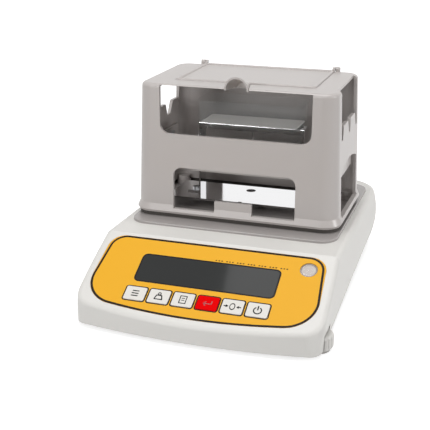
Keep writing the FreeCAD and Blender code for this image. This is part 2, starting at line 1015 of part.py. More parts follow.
def stand_outer():
    body = Part.makeLoft([stand_ring(0, 0, stand_low), stand_ring(0, 1, stand_top)], True, True)
    tops = [e for e in body.Edges if min(p.Point.z for p in e.Vertexes) > stand_top - close_gap]
    body = body.makeFillet(stand_edge, tops)
    rings = [
        stand_ring(rim_low_out, 0, stand_low),
        stand_ring(rim_out, 0, stand_low + rim_low),
        stand_ring(0, rim_high / stand_height, stand_low + rim_high),
    ]
    return body.fuse(Part.makeLoft(rings, True, True))


def stand_inner():
    low = stand_ring(-stand_wall, 0, stand_low)
    high = stand_ring(-stand_wall, 1 - roof_thick / stand_height, roof_low)
    low_end = low.copy()
    low_end.translate(V(0, 0, -over))
    return Part.makeLoft([low_end, low, high], True, True)


def sill_cutter():
    """The upper front window, its two lower corners rounded."""
    left = stand_shift - window_half
    right = stand_shift + window_half
    solid = block(left, right, -stand_front - over, stand_corner - stand_front, sill_z, roof_low)
    lows = [e for e in solid.Edges if along(e, 1) and e.CenterOfMass.z < sill_z + close_gap]
    return solid.makeFillet(sill_corner, lows)


def door_cutters():
    """The lower front opening round its upright tab, and the lower rear window over a higher sill."""
    high = stand_low + door_high
    front = block(
        stand_shift - door_half, stand_shift + door_half, -stand_front - rim_out - over, side_middle(),
        stand_low + door_low, high,
    )
    rear = block(
        stand_shift - rear_left, stand_shift + door_half, side_middle(), stand_rear + rim_out + over,
        stand_low + rear_sill, high,
    )
    solids = []
    for solid in (front, rear):
        highs = [e for e in solid.Edges if along(e, 1) and e.CenterOfMass.z > high - close_gap]
        solids.append(solid.makeFillet(door_corner, highs).cut(tab_zone(0)))
    return solids


def tab_zone(grow):
    """The room of the upright tab in the middle of the lower front opening."""
    low = stand_low + door_low
    half = tab_half + grow
    return block(stand_shift - half, stand_shift + half, -reach, 0, low, low + tab_height + grow)


def side_middle():
    return stand_depth / 2 - stand_front


def tooth(side, index):
    """One tooth of a side wall's toothed edge; the right wall has fewer and blunter ones than the left."""
    if side < 0:
        middle, count, pitch = side_middle(), tooth_count, tooth_pitch
        base, top = tooth_base / 2, tooth_top / 2
    else:
        middle, count, pitch = side_middle() + right_open_shift, right_tooth_count, right_tooth_pitch
        base, top = right_tooth_base / 2, right_tooth_top / 2
    y = middle + pitch * (index - (count - 1) / 2)
    low = sill_z - over
    high = sill_z + tooth_height
    points = [
        V(0, y - base, low),
        V(0, y + base, low),
        V(0, y + base, sill_z),
        V(0, y + top, high),
        V(0, y - top, high),
        V(0, y - base, sill_z),
    ]
    solid = Part.Face(Part.makePolygon(points + points[:1])).extrude(V(side * reach, 0, 0))
    tips = [e for e in solid.Edges if along(e, 0) and e.CenterOfMass.z > high - close_gap]
    return solid.makeFillet(tooth_height / 4, tips)


def side_cutters():
    """The upper side windows over their toothed sills; the right one also takes the roof's rounded edge."""
    mid = side_middle()
    left = block(-reach, 0, mid - side_open_half, mid + side_open_half, sill_z, roof_low)
    left = without(left, [tooth(-1, index) for index in range(tooth_count)])
    front = mid + right_open_shift - right_open_half
    rear = mid + right_open_shift + right_open_half
    right = block(0, reach, front, rear, sill_z, roof_low)
    right = without(right, [tooth(1, index) for index in range(right_tooth_count)])
    edge = stand_shift + stand_half - side_draft - stand_edge
    return [left, right, block(edge, reach, front, rear, roof_low - over, reach)]


def lip_cutter():
    """Thins the roof from below towards its front edge, over the whole front window."""
    front = -stand_front - over
    points = [
        V(stand_shift - window_half, front, roof_low - over),
        V(stand_shift - window_half, front, stand_top - lip_thick),
        V(stand_shift - window_half, hood_front, stand_top - lip_thick),
        V(stand_shift - window_half, hood_front + lip_depth, roof_low),
        V(stand_shift - window_half, hood_front + lip_depth, roof_low - over),
    ]
    return Part.Face(Part.makePolygon(points + points[:1])).extrude(V(2 * window_half, 0, 0))


def arch_cutter():
    """The arched lower openings of both sides."""
    mid = side_middle()
    low = stand_low + door_low
    spring = stand_low + arch_spring
    points = [
        V(-reach, mid - arch_half, spring),
        V(-reach, mid - arch_half, low),
        V(-reach, mid + arch_half, low),
        V(-reach, mid + arch_half, spring),
    ]
    arc = Part.Arc(points[3], V(-reach, mid, spring + arch_rise), points[0]).toShape()
    wire = Part.Wire([Part.makeLine(a, b) for a, b in zip(points, points[1:])] + [arc])
    return Part.Face(wire).extrude(V(2 * reach, 0, 0))


def lid_outline(grow, z0, z1):
    half = lid_half + grow
    return rounded(-half, half, -lid_front - grow, lid_depth - lid_front + grow, z0, z1, lid_corner)


def knuckles():
    """The two knuckles of the shell, each a round eye on a foot that stands on the roof."""
    solids = []
    for side in (-1, 1):
        inner = lid_half + ear_gap
        outer = inner + knuckle_width
        x0, x1 = sorted((side * inner, side * outer))
        eye = bar_x(x0, x1, hinge_y, hinge_z, knuckle_radius)
        foot = block(x0, x1, hinge_y - knuckle_radius, hinge_y + knuckle_radius, roof_low, hinge_z)
        solids.append(joined([eye, foot]))
    return solids


def stand_body():
    """The whole moulded stand before it is divided into rim, walls and roof."""
    shell = stand_outer().cut(stand_inner())
    openings = [sill_cutter(), lip_cutter(), arch_cutter()] + door_cutters() + side_cutters()
    shell = without(shell, openings)
    ledge = lid_outline(ledge_out, roof_low - ledge_thick, roof_low + close_gap)
    ledge = ledge.cut(lid_outline(-ledge_in, 0, reach))
    columns = [disc(x, y, stand_low, stand_low + column_height, column_radius) for x, y in stand_feet_places]
    shell = shell.fuse([ledge] + columns + knuckles())
    cutters = [lid_outline(lid_gap, roof_low, reach)]
    cutters.append(hood_form(lid_gap, hood_front - over, -lid_front, roof_low - ledge_thick - over))
    cutters.append(bar_x(-reach, reach, hinge_y, hinge_z, hinge_pin + pin_slip))
    for x, y in stand_feet_places:
        cutters.append(disc(x, y, 0, stand_low + stand_screw_reach + gap, stand_screw_radius + close_gap))
    for side, y in shelf_screw_places():
        cutters.append(bar_x(*shelf_screw_span(side), y, shelf_screw_z(), screw_radius + close_gap))
    return without(shell, cutters)


def stand_parts():
    """The stand divided into its rim with the tabs, its front and rear walls, its sides and its roof."""
    body = stand_body()
    seam_low = stand_low + door_low
    left = stand_shift - side_seam
    right = stand_shift + side_seam
    ledge = lid_outline(ledge_out, roof_low - ledge_thick, roof_low + close_gap)
    roof_zone = joined([block(-reach, reach, -reach, reach, roof_low, reach), ledge])
    rim_zone = joined([block(-reach, reach, -reach, reach, 0, seam_low), tab_zone(close_gap)])
    walls = body.cut(roof_zone).cut(rim_zone)
    return {
        "stand_rim": body.common(rim_zone),
        "stand_front": walls.common(block(left, right, -reach, side_middle(), 0, reach)),
        "stand_rear": walls.common(block(left, right, side_middle(), reach, 0, reach)),
        "stand_side_left": walls.common(block(-reach, left, -reach, reach, 0, reach)),
        "stand_side_right": walls.common(block(right, reach, -reach, reach, 0, reach)),
        "stand_roof": body.common(roof_zone),
    }


def hood_ring(y, grow, low):
    """Outline of the hood at a depth: half an ellipse that shrinks towards the lid, on two upright legs."""
    share = max(0, y - hood_front) / (hood_end - hood_front)
    half = hood_radius + share * (hood_end_half - hood_radius) + grow
    rise = hood_radius + share * (hood_end_rise - hood_radius) + grow
    right, left = V(half, y, hood_middle), V(-half, y, hood_middle)
    oval = Part.Ellipse(right, V(0, y, hood_middle + rise), V(0, y, hood_middle))
    arch = Part.ArcOfEllipse(oval, 0, math.pi).toShape()
    legs = Part.makePolygon([left, V(-half, y, low), V(half, y, low), right])
    return Part.Wire(arch.Edges + legs.Edges)


def hood_form(grow, y0, y1, low):
    """Scoop that falls and narrows from its arch at the roof's front edge to the lid."""
    depths = sorted({y0, hood_front, y1})
    return Part.makeLoft([hood_ring(y, grow, low) for y in depths], True, True)


def hinge_pins():
    pins = []
    for side in (-1, 1):
        ends = (side * (lid_half - ear_width - close_gap), side * (lid_half + ear_gap + knuckle_width - gap))
        pins.append(bar_x(min(ends), max(ends), hinge_y, hinge_z, hinge_pin))
    return Part.makeCompound(pins)


def lid():
    """Flat lid with a scooped finger hood in front and two ears that turn on the hinge pins."""
    plate = lid_outline(0, stand_top - lid_thick, stand_top)
    outer = hood_form(0, hood_front, hood_end, stand_top - lid_thick)
    inner = hood_form(-hood_wall, hood_front - over, -lid_front - hood_wall, stand_top - lid_thick - over)
    hood = outer.cut(inner)
    solids = [plate, hood]
    for side in (-1, 1):
        x0, x1 = sorted((side * (lid_half - ear_width), side * lid_half))
        eye = bar_x(x0, x1, hinge_y, hinge_z, knuckle_radius)
        arm = block(x0, x1, hinge_y - knuckle_radius - ear_root, hinge_y, stand_top + lid_gap, hinge_z)
        root = block(
            x0, x1, hinge_y - knuckle_radius - ear_root, lid_depth - lid_front - lid_corner,
            stand_top - close_gap, hinge_z,
        )
        solids.append(joined([eye, arm, root]))
    holes = bar_x(-reach, reach, hinge_y, hinge_z, hinge_pin + pin_slip)
    return joined(solids).cut(holes)


def inner_half(z):
    """Half the inside width of the stand at a height."""
    return stand_half - stand_wall - side_draft * (z - stand_low) / stand_height


def shelf_half():
    return inner_half(shelf_top + shelf_flange) - shelf_side_gap


def shelf_screw_z():
    return shelf_low + shelf_screw_rise


def shelf_screw_places():
    return [(side, hub_y + way * shelf_screw_y) for side in (-1, 1) for way in (-1, 1)]


def shelf_screw_span(side):
    start = stand_shift + side * (shelf_half() - shelf_thick)
    end = stand_shift + side * (inner_half(shelf_low) + stand_wall / 2)
    return min(start, end), max(start, end)


def tank_shelf():
    """Tray-shaped shelf between the side walls, slotted for the legs of the weigh bridge."""
    x0 = stand_shift - shelf_half()
    x1 = stand_shift + shelf_half()
    y0 = hub_y - shelf_half_depth
    y1 = hub_y + shelf_half_depth
    plate = block(x0, x1, y0, y1, shelf_low, shelf_top)
    left = block(x0, x0 + shelf_thick, y0, y1, shelf_low, shelf_top + shelf_flange)
    right = block(x1 - shelf_thick, x1, y0, y1, shelf_low, shelf_top + shelf_flange)
    cutters = []
    for side in (-1, 1):
        x0, x1 = sorted((side * (bridge_half - bridge_sheet - leg_room), side * (bridge_half + leg_room)))
        depth = bridge_half_depth + leg_room
        cutters.append(block(x0, x1, hub_y - depth, hub_y + depth, 0, reach))
    for side, y in shelf_screw_places():
        cutters.append(bar_x(*shelf_screw_span(side), y, shelf_screw_z(), screw_radius + close_gap))
    return without(joined([plate, left, right]), cutters)


def shelf_screws():
    screws = []
    for side, y in shelf_screw_places():
        x0, x1 = shelf_screw_span(side)
        inner = stand_shift + side * (shelf_half() - shelf_thick)
        head_end = inner - side * shelf_screw_head_height
        head = bar_x(min(inner, head_end), max(inner, head_end), y, shelf_screw_z(), shelf_screw_head)
        shank = bar_x(x0, x1, y, shelf_screw_z(), screw_radius)
        screws.append(joined([head, shank]))
    return Part.makeCompound(screws)


def open_box(half, half_depth, low, height, wall, rim, rim_height, corner):
    """Open clear vessel with a turned-out rim."""
    y0 = hub_y - half_depth
    y1 = hub_y + half_depth
    top = low + height
    outer = rounded(-half, half, y0, y1, low, top, corner)
    lip = rounded(-half - rim, half + rim, y0 - rim, y1 + rim, top - rim_height, top, corner + rim)
    hollow = rounded(wall - half, half - wall, y0 + wall, y1 - wall, low + wall, top + over, corner - wall)
    return joined([outer, lip]).cut(hollow)


def water_tank():
    low = shelf_top + close_gap
    return open_box(
        tank_half, tank_half_depth, low, tank_height, tank_wall, tank_rim, tank_rim_height, tank_corner,
    )


def sample_tray():
    low = bridge_top
    return open_box(
        tray_half, tray_half_depth, low, tray_tall, tray_wall, tray_lip, tray_lip_height, tray_corner,
    )


def weigh_plate():
    y0 = hub_y - plate_half_depth
    y1 = hub_y + plate_half_depth
    plate = rounded(-plate_half, plate_half, y0, y1, plate_low, plate_top, plate_corner)
    cutters = [disc(plate_hole_x, hub_y + plate_hole_back, 0, reach, plate_hole)]
    half = plate_notch / 2
    cutters.append(block(plate_hole_x - half, plate_hole_x + half, y0 - over, y0 + plate_notch / 2, 0, reach))
    for side in (-1, 1):
        cutters.append(disc(side * (bridge_half + toe_hole_in), hub_y, 0, reach, screw_radius + bridge_screw_slip))
    return without(plate, cutters)


def weigh_bridge():
    """Bridge bent from one strip: a channel across the top, a leg at each end and a toe under each."""
    y0 = hub_y - bridge_half_depth
    y1 = hub_y + bridge_half_depth
    channel = block(-bridge_half, bridge_half, y0, y1, bridge_top - bridge_flange, bridge_top)
    room = block(
        bridge_sheet - bridge_half, bridge_half - bridge_sheet, y0 + bridge_sheet, y1 - bridge_sheet,
        0, bridge_top - bridge_sheet,
    )
    solids = [channel.cut(room)]
    for side in (-1, 1):
        x0, x1 = sorted((side * (bridge_half - bridge_sheet), side * bridge_half))
        solids.append(block(x0, x1, y0, y1, plate_top, bridge_top))
        x0, x1 = sorted((side * (bridge_half - bridge_sheet), side * (bridge_half + bridge_toe)))
        solids.append(block(x0, x1, y0, y1, plate_top, plate_top + bridge_sheet))
    solids.append(bar_y(0, y0, y1, bridge_top - bridge_sheet - peg_drop, peg_radius))
    bridge = joined(solids)
    rims = [e for e in bridge.Edges if along(e, 0) and e.CenterOfMass.z > bridge_top - close_gap]
    bridge = bridge.makeFillet(bridge_sheet / 2, rims)
    holes = [
        disc(side * (bridge_half + toe_hole_in), hub_y, 0, reach, screw_radius + bridge_screw_slip)
        for side in (-1, 1)
    ]
    return without(bridge, holes)


def bridge_screws():
    screws = []
    top = plate_top + bridge_sheet
    for side in (-1, 1):
        x = side * (bridge_half + toe_hole_in)
        head = disc(x, hub_y, top, top + bridge_screw_head_height, bridge_screw_head)
        shank = disc(x, hub_y, plate_low, top, screw_radius)
        screws.append(joined([head, shank]))
    return Part.makeCompound(screws)


def basket_axis_z():
    return bridge_top - bridge_sheet - peg_drop - (ring_bore - peg_radius) + close_gap


def hanging_basket():
    """Ring on the peg, a straight wire and a shallow pierced pan that hangs in the tank."""
    z = basket_axis_z()
    y0 = hub_y - ring_thick / 2
    ring = bar_y(0, y0, y0 + ring_thick, z, ring_radius)
    pan_low = shelf_top + close_gap + tank_wall + basket_clear
    pan = disc(0, hub_y, pan_low, pan_low + basket_rim, basket_radius)
    pan = pan.cut(disc(0, hub_y, pan_low + basket_thick, reach, basket_radius - basket_rim_wall))
    wire = disc(0, hub_y, pan_low, z - ring_bore - close_gap, wire_radius)
    holes = [bar_y(0, y0 - over, y0 + ring_thick + over, z, ring_bore)]
    for step in range(basket_hole_count):
        turn = 2 * math.pi * step / basket_hole_count
        x = basket_hole_ring * math.cos(turn)
        y = hub_y + basket_hole_ring * math.sin(turn)
        holes.append(disc(x, y, 0, pan_low + basket_rim, basket_hole))
    return without(joined([ring, pan, wire]), holes)


def all_pieces():
    """Every node's name and solid."""
    pieces = {
        "bottom_tray": bottom_tray(),
        "top_case": top_case(),
        "front_panel": front_panel(),
        "display_lens": display_lens(),
        "lcd_module": lcd_module(),
        "key_board": key_board(),
        "key_switches": key_switches(),
        "level_cup": level_cup(),
        "level_fluid": level_fluid(),
        "level_lens": level_lens(),
        "main_board": main_board(),
        "board_screws": board_screws(),
        "battery": battery(),
        "battery_cover": battery_cover(),
        "case_screws": case_screws(),
        "foot_inserts": foot_inserts(),
        "dc_jack": dc_jack(),
        "serial_port": serial_port(),
        "load_cell": load_cell(),
        "cell_bracket": cell_bracket(),
        "cell_screws": cell_screws(),
        "overload_stop": overload_stop(),
        "load_spider": load_spider(),
        "spider_screws": spider_screws(),
        "hub_post": hub_post(),
        "platform_plate": platform_plate(),
        "stand_feet": stand_feet(),
        "stand_screws": stand_screws(),
        **stand_parts(),
        "hinge_pins": hinge_pins(),
        "lid": lid(),
        "tank_shelf": tank_shelf(),
        "shelf_screws": shelf_screws(),
        "water_tank": water_tank(),
        "sample_tray": sample_tray(),
        "weigh_plate": weigh_plate(),
        "weigh_bridge": weigh_bridge(),
        "bridge_screws": bridge_screws(),
        "hanging_basket": hanging_basket(),
    }
    for index, name in enumerate(key_names):
        pieces[name] = key(index)
    for corner, place in feet.items():
        pieces["foot_wheel_" + corner] = foot_wheel(place)
        pieces["foot_pad_" + corner] = foot_pad(place)
    return pieces


for name, shape in all_pieces().items():
    shape.exportStep("parts/" + name + ".step")
    print(name, len(shape.Solids), round(shape.Volume), shape.isValid())
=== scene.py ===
import json
import math

import bmesh
import bpy
import numpy as np
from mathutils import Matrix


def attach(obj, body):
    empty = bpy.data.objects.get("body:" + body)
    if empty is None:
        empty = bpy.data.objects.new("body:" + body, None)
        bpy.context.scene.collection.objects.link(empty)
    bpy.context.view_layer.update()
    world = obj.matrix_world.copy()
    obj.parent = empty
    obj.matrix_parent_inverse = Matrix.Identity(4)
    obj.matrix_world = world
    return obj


# The bench density meter as it looks on a white studio table.
# Lengths are millimetres in the frame of the solids, unless a name or comment says metres.
MM = 0.001

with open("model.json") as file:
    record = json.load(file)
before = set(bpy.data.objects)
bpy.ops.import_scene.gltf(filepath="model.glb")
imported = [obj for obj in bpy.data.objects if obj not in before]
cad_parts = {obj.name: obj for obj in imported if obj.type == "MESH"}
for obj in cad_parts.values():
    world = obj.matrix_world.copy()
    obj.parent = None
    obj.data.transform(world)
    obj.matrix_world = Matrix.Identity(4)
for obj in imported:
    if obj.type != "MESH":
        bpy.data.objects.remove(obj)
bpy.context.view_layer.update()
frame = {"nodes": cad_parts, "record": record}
NODES = frame["nodes"]

# The slope that carries the panel: its top edge, the way up along it and the way out of it
SLOPE = math.radians(27.84)
SLOPE_TOP = np.array([0.0, -64.8, 53.7])
ALONG = np.array([0.0, math.cos(SLOPE), math.sin(SLOPE)])
OUT = np.array([0.0, -math.sin(SLOPE), math.cos(SLOPE)])

# Heights above the slope of the panel film's face and of the key caps' faces, and the ink's thickness
PANEL_FACE = -0.05
KEY_FACE = 0.45
INK_THICK = 0.03

# The panel's outline: its low and high line, its half widths there, the bow of its bottom and its corners
PANEL_LOW, PANEL_HIGH = -73.05, -3.25
PANEL_HALF_LOW, PANEL_HALF_HIGH = 87.0, 84.0
PANEL_BOW = 8.0
PANEL_LARGE_CORNER, PANEL_SMALL_CORNER = 24.0, 12.5
# Points along its large corners, its small corners and its bow
PANEL_COUNTS = (20, 14, 42)
# The border line lies between the outline moved inwards by these two steps
BORDER_INSETS = (1.8, 0.1)

# The display window, and its frame's width
WINDOW = (-52.4, 52.4, -44.25, -19.65)
WINDOW_CORNER = 3.0
WINDOW_FRAME = 1.2

# The row of keys: middles along u, their common v, half sizes and corner of the frames' inner line
KEY_SPACING = 18.41
KEY_MIDS = [-1.2 + KEY_SPACING * (i - 2.5) for i in range(6)]
KEY_V = -56.83
KEY_HALF_U, KEY_HALF_V = 8.1, 6.25
KEY_CORNER = 1.5
KEY_FRAME = 0.8

# The row of small marks above the window: seven groups of three
MARK_START, MARK_V = 3.0, -17.0
MARK_GROUP_STEP, MARK_STEP = 8.2, 2.2
MARK_HALF_U, MARK_HALF_V = 0.6, 0.45

# Strokes of the signs: bold ones, and finer ones for arrows, the sheet's sides and its lines
BOLD, ARROW, FINE, HAIR = 0.9, 0.8, 0.7, 0.6

# The dark cord under the stand's rim, painted shade for the gap between rim and platform: its outer outline with
# the corners' radius, thickness and levels
CORD_BOX = (-83.6, 80.8, -26.0, 73.4, 12.9)
CORD_THICK = 2.0
CORD_LEVELS = (55.82, 58.88)

# The white sheet in the tray: its outline with the corners' radius, and its levels
LINER_BOX = (-39.6, 39.6, 8.6, 38.8, 2.4)
LINER_LEVELS = (126.34, 126.84)

# The bead round the lid: its line with the corners' radius, half its width, its height, and the lid face
# that it stands on
BEAD_BOX = (-54.9, 54.9, -2.6, 68.4, 3.0)
BEAD_HALF, BEAD_RISE, LID_FACE = 1.3, 1.3, 162.38
BEAD_COUNT = 9

# The studio: floor side, lamps (place, side and power in metres and watts) and where they point, in metres
FLOOR_SIDE = 8.0
LAMP_AIM = (0.0, 0.0, 0.06)
LAMPS = (
    ("top_lamp", (0.0, -0.1, 1.5), 0.84, 12.5),
    ("right_lamp", (1.3, 0.03, 0.40), 0.3, 5.5),
    ("key_lamp", (-0.49, -1.36, 1.0), 0.5, 5.2),
    ("low_lamp", (-0.45, -1.25, 0.28), 0.3, 3.2),
)
ROOM_LIGHT = 0.26
# The floor's own white, seen by the camera and in gloss: its strength at the middle and its rise per metre
FLOOR_WHITE, FLOOR_WHITE_RISE = 0.68, 0.15

# The camera at the photograph's place: millimetres, and degrees below the level and round to the left
CAMERA_PLACE = (199.07, -673.91, 299.92)
CAMERA_DIP, CAMERA_TURN = 19.277, 18.361
CAMERA_LENS, CAMERA_SENSOR = 76.776, 36.0


def linear(hex_colour):
    """The sRGB hex colour as linear red, green, blue and alpha 1."""
    channels = [int(hex_colour[i : i + 2], 16) / 255 for i in (1, 3, 5)]
    return [c / 12.92 if c <= 0.04045 else ((c + 0.055) / 1.055) ** 2.4 for c in channels] + [1.0]


def add(owner, kind, links=(), **settings):
    """A new node of the kind in a material or world: settings are sockets by name or plain properties,
    links are pairs of a socket, by name or number, and the output that feeds it."""
    node = owner.node_tree.nodes.new(kind)
    for name, value in settings.items():
        if hasattr(node, name):
            setattr(node, name, value)
        else:
            node.inputs[name.replace("_", " ")].default_value = value
    for name, output in links:
        owner.node_tree.links.new(node.inputs[name], output)
    return node


def finish_of(name, colour, **sockets):
    """A material of that name with its base colour and the shader sockets set as given."""
    material = bpy.data.materials.new(name)
    material.use_nodes = True
    shader = material.node_tree.nodes["Principled BSDF"]
    shader.inputs["Base Color"].default_value = linear(colour)
    for socket, value in sockets.items():
        shader.inputs[socket.replace("_", " ")].default_value = value
    return material


def grain(material, size_mm=0.7, height_mm=0.02):
    """Moulding grain: noise of one real size on Object coordinates, as a shallow bump."""
    place = add(material, "ShaderNodeTexCoord")
    at_place = [("Vector", place.outputs["Object"])]
    noise = add(material, "ShaderNodeTexNoise", at_place, Scale=1 / (size_mm * MM), Detail=2.0)
    height = [("Height", noise.outputs["Fac"])]
    bump = add(material, "ShaderNodeBump", height, Distance=height_mm * MM, Strength=1.0)
    shader = material.node_tree.nodes["Principled BSDF"]
    material.node_tree.links.new(shader.inputs["Normal"], bump.outputs["Normal"])
    return material


# ABS, injection moulded against a finely eroded tool: off-white, satin, with a faint grain that is drawn
# a little coarser than the real one so that it shows
case_abs = grain(finish_of("moulded_abs_off_white", "#D9D7D3", Roughness=0.45))
# The same ABS dyed warm grey for the measuring stand, from a smoother tool: a soft gloss
stand_abs = grain(finish_of("moulded_abs_warm_grey", "#B8B2AF", Roughness=0.32))
# Polyester film printed on its back: an even yellow under a clear, satin layer
printed_film = finish_of("printed_polyester_yellow", "#E8AB24", Roughness=0.5, Specular_IOR_Level=0.2)
# Smooth tinted film over the display: dark, with a sharp reflection of the lamp overhead
tinted_film = finish_of("tinted_window_film", "#333434", Roughness=0.06, Specular_IOR_Level=0.09)
# The same film printed white or red over the keys
key_film = finish_of("printed_key_film_white", "#DEDBD5", Roughness=0.5, Specular_IOR_Level=0.25)
red_key_film = finish_of("printed_key_film_red", "#E20206", Roughness=0.55, Specular_IOR_Level=0.02)
# Grey paint sprayed on the steel platform plate: smooth, with a gloss
grey_paint = finish_of("sprayed_paint_grey", "#9F9A98", Roughness=0.22)
# Acrylic sheet, cut and glued: seen through, with a sharp gloss
clear_acrylic = finish_of("clear_acrylic_sheet", "#C9CECE", Roughness=0.04, IOR=1.49, Alpha=0.06)
# Stainless steel sheet, polished: mirrors the white room
polished_steel = finish_of("polished_stainless_sheet", "#F1F1F2", Roughness=0.1, Metallic=1.0)
# Zinc-plated steel screws and port shell: grey metal with a soft shine
plated_steel = finish_of("zinc_plated_steel", "#B8BABC", Roughness=0.3, Metallic=1.0)
# Aluminium, milled: pale metal with a blurred shine
milled_aluminium = finish_of("milled_aluminium", "#C9CBCD", Roughness=0.35, Metallic=1.0)
# Brass, turned: yellow metal
turned_brass = finish_of("turned_brass", "#C8A24E", Roughness=0.3, Metallic=1.0)
# Rubber, moulded, grey and dull, under the feet
pale_rubber = finish_of("moulded_grey_rubber", "#B3B0AB", Roughness=0.7)
# A dark, dull cord that fills the gap under the stand's rim: painted shade standing in for the shadow there
shade_cord_finish = finish_of("dark_cord_painted_shade", "#4A4643", Roughness=0.9)
# Polypropylene sheet, extruded: white and satin
white_sheet = finish_of("white_polypropylene_sheet", "#F3F2EF", Roughness=0.4)
# ABS, moulded, black and satin
black_abs = finish_of("moulded_abs_black", "#1C1C1E", Roughness=0.45)
# Solder mask, green lacquer on the boards
solder_mask = finish_of("green_solder_mask", "#1F6B45", Roughness=0.35)
# The level's moulded cup and the milky liquid that fills it
level_shell = finish_of("moulded_polystyrene_grey", "#8E837B", Roughness=0.3)
level_liquid = finish_of("milky_level_liquid", "#B9AEA9", Roughness=0.3)

FINISHES = {
    "case_plastic": case_abs,
    "panel_film": printed_film,
    "display_film": tinted_film,
    "display_case": black_abs,
    "key_plastic": key_film,
    "key_red": red_key_film,
    "circuit_board": solder_mask,
    "switch_plastic": black_abs,
    "level_shell": level_shell,
    "level_liquid": level_liquid,
    "clear_plastic": clear_acrylic,
    "screw_steel": plated_steel,
    "battery_skin": black_abs,
    "brass": turned_brass,
    "socket_plastic": black_abs,
    "port_metal": plated_steel,
    "cell_alloy": milled_aluminium,
    "platform_paint": grey_paint,
    "stand_plastic": stand_abs,
    "foot_rubber": pale_rubber,
    "bright_steel": polished_steel,
}

for part in frame["record"]["subparts"]:
    node = NODES[part["node"]]
    node.data.materials.clear()
    node.data.materials.append(FINISHES[part["material_slot"]])


def built(name, points, faces, body, finish):
    """A mesh piece that rides on a body, from points in metres and faces as rows of four indices. Poles, where
    points fall together, are merged and the faces are turned outwards."""
    mesh = bpy.data.meshes.new(name)
    mesh.from_pydata(points.tolist(), [], faces.tolist())
    work = bmesh.new()
    work.from_mesh(mesh)
    bmesh.ops.remove_doubles(work, verts=work.verts, dist=1e-7)
    bmesh.ops.recalc_face_normals(work, faces=work.faces)
    work.to_mesh(mesh)
    work.free()
    mesh.materials.append(finish)
    piece = bpy.data.objects.new(name, mesh)
    bpy.context.scene.collection.objects.link(piece)
    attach(piece, body)


def surface(name, points, body, finish, closed=True):
    """A surface from a grid of points, rows by columns: each cell between neighbouring rows and columns is one
    quad. The columns join up into rings, and the last row joins the first when closed is set."""
    rows, columns = points.shape[:2]
    index = np.arange(rows * columns).reshape(rows, columns)
    index = np.concatenate([index, index[:, :1]], axis=1)
    if closed:
        index = np.concatenate([index, index[:1]], axis=0)
    quads = np.stack([index[:-1, :-1], index[:-1, 1:], index[1:, 1:], index[1:, :-1]], axis=-1)
    built(name, points.reshape(-1, 3), quads.reshape(-1, 4), body, finish)


def levels(rows):
    """A grid of points in metres from rows of a flat outline and its height."""
    return np.stack([np.column_stack([line, np.full(len(line), z)]) for line, z in rows]) * MM


def on_slope(points):
    """Points in metres, drawn flat as u to the right, v up and height, taken to their place on the slope:
    the slope's top edge plus u, v and height times its three directions."""
    u, v, w = np.moveaxis(points, -1, 0)
    right = np.array([1.0, 0.0, 0.0])
    return SLOPE_TOP * MM + u[..., None] * right + v[..., None] * ALONG + w[..., None] * OUT


def printed(name, outlines, height, body, ink):
    """Printed patches: each flat outline of four points is a thin box, raised by the ink's thickness."""
    flat = np.shape(outlines)[:2]
    low, high = (np.dstack([outlines, np.full(flat, z)]) for z in (height, height + INK_THICK))
    points = np.concatenate([low, high], axis=1) * MM
    box = np.array([[0, 1, 2, 3], [4, 5, 6, 7], [0, 1, 5, 4], [1, 2, 6, 5], [2, 3, 7, 6], [3, 0, 4, 7]])
    faces = (np.arange(len(outlines))[:, None, None] * 8 + box).reshape(-1, 4)
    built(name, on_slope(points).reshape(-1, 3), faces, body, ink)


def printed_band(name, inner, outer, ink):
    """A printed line on the panel between two outlines of equally many points, with a rectangular section."""
    low, high = PANEL_FACE, PANEL_FACE + INK_THICK
    surface(name, on_slope(levels([(inner, low), (inner, high), (outer, high), (outer, low)])), "base", ink)


def turn(centre, radius, start, end, count):
    """Points on a circle from one angle to another, in degrees: centre plus radius times cosine and sine."""
    angle = np.radians(np.linspace(start, end, count))
    return np.column_stack([centre[0] + radius * np.cos(angle), centre[1] + radius * np.sin(angle)])


def box_outline(u0, u1, v0, v1, radius, count=8):
    """Rectangle with round corners, each a quarter circle, counted round from the one at u1 and v1."""
    left, right, low, high = u0 + radius, u1 - radius, v0 + radius, v1 - radius
    centres = [(right, high), (left, high), (left, low), (right, low)]
    return np.concatenate([turn(c, radius, 90 * i, 90 * i + 90, count) for i, c in enumerate(centres)])


def panel_outline(inset):
    """The front panel's outline: leaning sides, a straight top and a bowed bottom, all joined by round corners.
    The large corners touch the side line and the bow's circle, so their centre lies at its radius from both."""
    low, high = PANEL_LOW + inset, PANEL_HIGH - inset
    half_low, half_high = PANEL_HALF_LOW - inset, PANEL_HALF_HIGH - inset
    large, small = PANEL_LARGE_CORNER - inset, PANEL_SMALL_CORNER - inset
    radius = (half_low**2 + PANEL_BOW**2) / (2 * PANEL_BOW)
    centre = np.array([0.0, low + radius])
    side = np.array([half_high - half_low, high - low - PANEL_BOW])
    side = side / np.hypot(*side)
    inward = np.array([-side[1], side[0]])
    start = np.array([half_low, low + PANEL_BOW]) + inward * large
    step = start - centre
    along = -step @ side - math.sqrt((step @ side) ** 2 - step @ step + (radius - large) ** 2)
    corner = start + side * along
    lean = math.degrees(math.atan2(-inward[1], -inward[0]))
    out = corner - centre
    foot = math.degrees(math.atan2(out[1], out[0]))
    upper = (half_high - small * (1 - side[0]) / side[1], high - small)
    many_large, many_small, many_bow = PANEL_COUNTS
    corners = [turn(corner, large, foot, lean, many_large), turn(upper, small, lean, 90, many_small)]
    right = np.concatenate(corners)
    left = right[::-1] * [-1, 1]
    bottom = turn(centre, radius, -180 - foot, foot, many_bow)[1:-1]
    return np.concatenate([right, left, bottom])


def stroke(start, end, width):
    """A straight stroke as one outline of four points: each end point moved half the width to either side."""
    start, end = np.array(start, float), np.array(end, float)
    way = (end - start) / np.hypot(*(end - start))
    side = np.array([-way[1], way[0]]) * width / 2
    return np.array([start - side, end - side, end + side, start + side])


